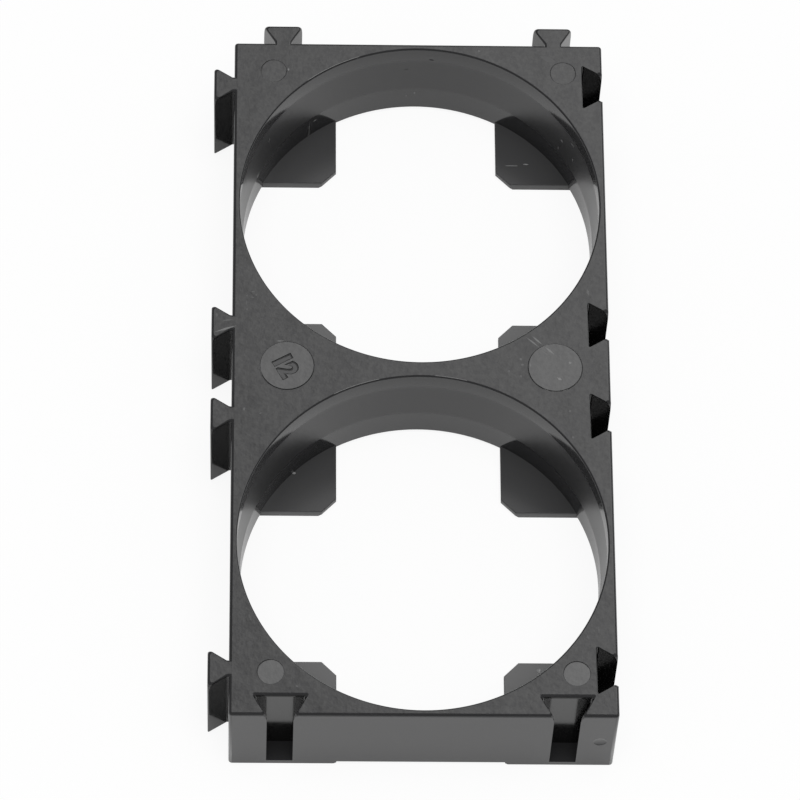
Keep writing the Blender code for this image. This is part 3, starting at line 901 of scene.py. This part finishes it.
def make_moulding():
    """Joins and cuts the construction solids into the finished moulding."""
    block = make_body_block()
    void = make_underside_void()
    cut_or_join(void, make_bores(), "UNION")
    cut_or_join(void, make_feet(), "DIFFERENCE")
    cut_or_join(block, make_tabs(), "UNION")
    cut_or_join(block, make_pin_pads(), "UNION")
    right = [place for place in socket_places() if place[2][0]]
    front = [place for place in socket_places() if place[2][1]]
    for cutter in (void, make_sockets("right_sockets", right, SIDE_SOCKET_RIM_RADIUS),
                   make_sockets("front_sockets", front, SOCKET_RIM_RADIUS), make_lead_ins(),
                   make_pin_dimples(), make_pin_grooves(), make_mould_number(), make_scuffs()):
        cut_or_join(block, cutter, "DIFFERENCE")
    cut_or_join(block, make_specks(), "UNION")
    cut_or_join(block, make_dents(), "DIFFERENCE")
    bpy.context.view_layer.update()
    evaluated = block.evaluated_get(bpy.context.evaluated_depsgraph_get())
    shape = bmesh.new()
    shape.from_mesh(evaluated.to_mesh())
    tools = [modifier.object for solid in (void, block) for modifier in solid.modifiers]
    for solid in [*tools, block]:
        bpy.data.objects.remove(solid, do_unlink=True)
    bmesh.ops.remove_doubles(shape, verts=shape.verts[:], dist=MERGE_DISTANCE)
    bmesh.ops.dissolve_degenerate(shape, edges=shape.edges[:], dist=MERGE_DISTANCE)
    bmesh.ops.dissolve_limit(shape, angle_limit=COPLANAR_ANGLE, verts=shape.verts[:],
                             edges=shape.edges[:])
    for face in shape.faces:
        face.smooth = True
    for edge in shape.edges:
        flats = [is_flat(face) for face in edge.link_faces]
        edge.smooth = edge.is_manifold and edge.calc_face_angle() < CREASE_ANGLE and not any(flats)
    mark_finishes(shape)
    mesh = bpy.data.meshes.new("bracket_moulding")
    shape.to_mesh(mesh)
    shape.free()
    moulding = bpy.data.objects.new("bracket_moulding", mesh)
    bpy.context.scene.collection.objects.link(moulding)
    return moulding


# Plastic. Black ABS, glossy where the tool was polished and satin on the bores' taper, with a fine
# orange peel on the top face. Sizes of its pattern are in millimetres, heights in metres.
BLACK = "#2D2D2E"
HAZE_GREY = "#393939"
WEAR_AND_HIGHLIGHT_GREY = "#8C8C8C"
# Painted shade: the darker black given to the upright flanks of the dovetails and sockets.
FLANK_SHADE_BLACK = "#101010"
GLOSS_ROUGHNESS = 0.12
SATIN_ROUGHNESS = 0.3
ABS_IOR = 1.54
GRAIN_SIZE = 0.4
GRAIN_HEIGHT = 0.000012
GRAIN_DETAIL = 2.0
CLOUD_SIZE = 3.0
CLOUD_HEIGHT = 0.00005
CLOUD_DETAIL = 1.0
HAZE_FROM = 0.35
HAZE_TO = 0.65


def add_noise(tree, place, size, detail):
    """Adds a noise with spots of a size in millimetres and returns its value."""
    noise = add_node(tree, "ShaderNodeTexNoise", {"noise_dimensions": "3D"},
                     {"Vector": place, "Scale": 1 / (size * MM), "Detail": detail,
                      "Roughness": 0.5})
    return noise.outputs[0]


def make_black_abs():
    """Makes the moulded black ABS."""
    material = bpy.data.materials.new("moulded_black_abs")
    material.use_nodes = True
    tree = material.node_tree
    tree.nodes.clear()
    satin, grained, wear_and_painted_light, flank_shade = [
        add_node(tree, "ShaderNodeAttribute", {"attribute_name": name}).outputs["Fac"]
        for name in ("satin", "grained", "wear_and_painted_light", "flank_shade")]
    roughness = add_node(tree, "ShaderNodeMix", {"clamp_factor": False},
                         {0: satin, 2: GLOSS_ROUGHNESS, 3: SATIN_ROUGHNESS})
    # The top face sank a little unevenly as it cooled, and has a fine orange peel.
    place = add_node(tree, "ShaderNodeTexCoord").outputs["Object"]
    grain = add_noise(tree, place, GRAIN_SIZE, GRAIN_DETAIL)
    cloud = add_noise(tree, place, CLOUD_SIZE, CLOUD_DETAIL)
    sinks = add_node(tree, "ShaderNodeMath", {"operation": "MULTIPLY"},
                     {0: cloud, 1: CLOUD_HEIGHT})
    peel = add_node(tree, "ShaderNodeMath", {"operation": "MULTIPLY_ADD"},
                    {0: grain, 1: GRAIN_HEIGHT, 2: sinks.outputs["Value"]})
    # The plastic is black right through, with a faint uneven haze of handling, and pale where it
    # was rubbed, scratched or pressed by the pins. Stretches of the bores' rims and the mould
    # number's floor are paled as painted highlight, the back ledges are kept less pale as painted
    # shade, and the upright flanks of the dovetails and sockets are coloured a darker black as
    # painted shade.
    haze = add_node(tree, "ShaderNodeMapRange",
                    inputs={"Value": grain, "From Min": HAZE_FROM, "From Max": HAZE_TO})
    hazed = add_node(tree, "ShaderNodeMath", {"operation": "MULTIPLY"},
                     {0: haze.outputs["Result"], 1: grained})
    hazy = add_node(tree, "ShaderNodeMix", {"data_type": "RGBA"},
                    {0: hazed.outputs["Value"], 6: linear(BLACK), 7: linear(HAZE_GREY)})
    # Wear and painted highlight: this grey pales the worn faces, and also stretches of the bores'
    # rims and the mould number's floor.
    paled_by_wear_and_light = add_node(tree, "ShaderNodeMix", {"data_type": "RGBA"},
                      {0: wear_and_painted_light, 6: hazy.outputs[2], 7: linear(WEAR_AND_HIGHLIGHT_GREY)})
    # Painted shade: the upright flanks of the dovetails and sockets are coloured a darker black.
    colour = add_node(tree, "ShaderNodeMix", {"data_type": "RGBA"},
                      {0: flank_shade, 6: paled_by_wear_and_light.outputs[2], 7: linear(FLANK_SHADE_BLACK)})
    bump = add_node(tree, "ShaderNodeBump", inputs={"Strength": grained, "Distance": 1.0,
                                                    "Height": peel.outputs["Value"]})
    shader = add_node(tree, "ShaderNodeBsdfPrincipled",
                      inputs={"Base Color": colour.outputs[2], "Roughness": roughness.outputs[0],
                              "IOR": ABS_IOR, "Normal": bump.outputs["Normal"]})
    add_node(tree, "ShaderNodeOutputMaterial", inputs={"Surface": shader.outputs["BSDF"]})
    return material


moulding = make_moulding()
moulding.data.materials.append(make_black_abs())
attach(moulding, "root")
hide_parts("cell_bracket")
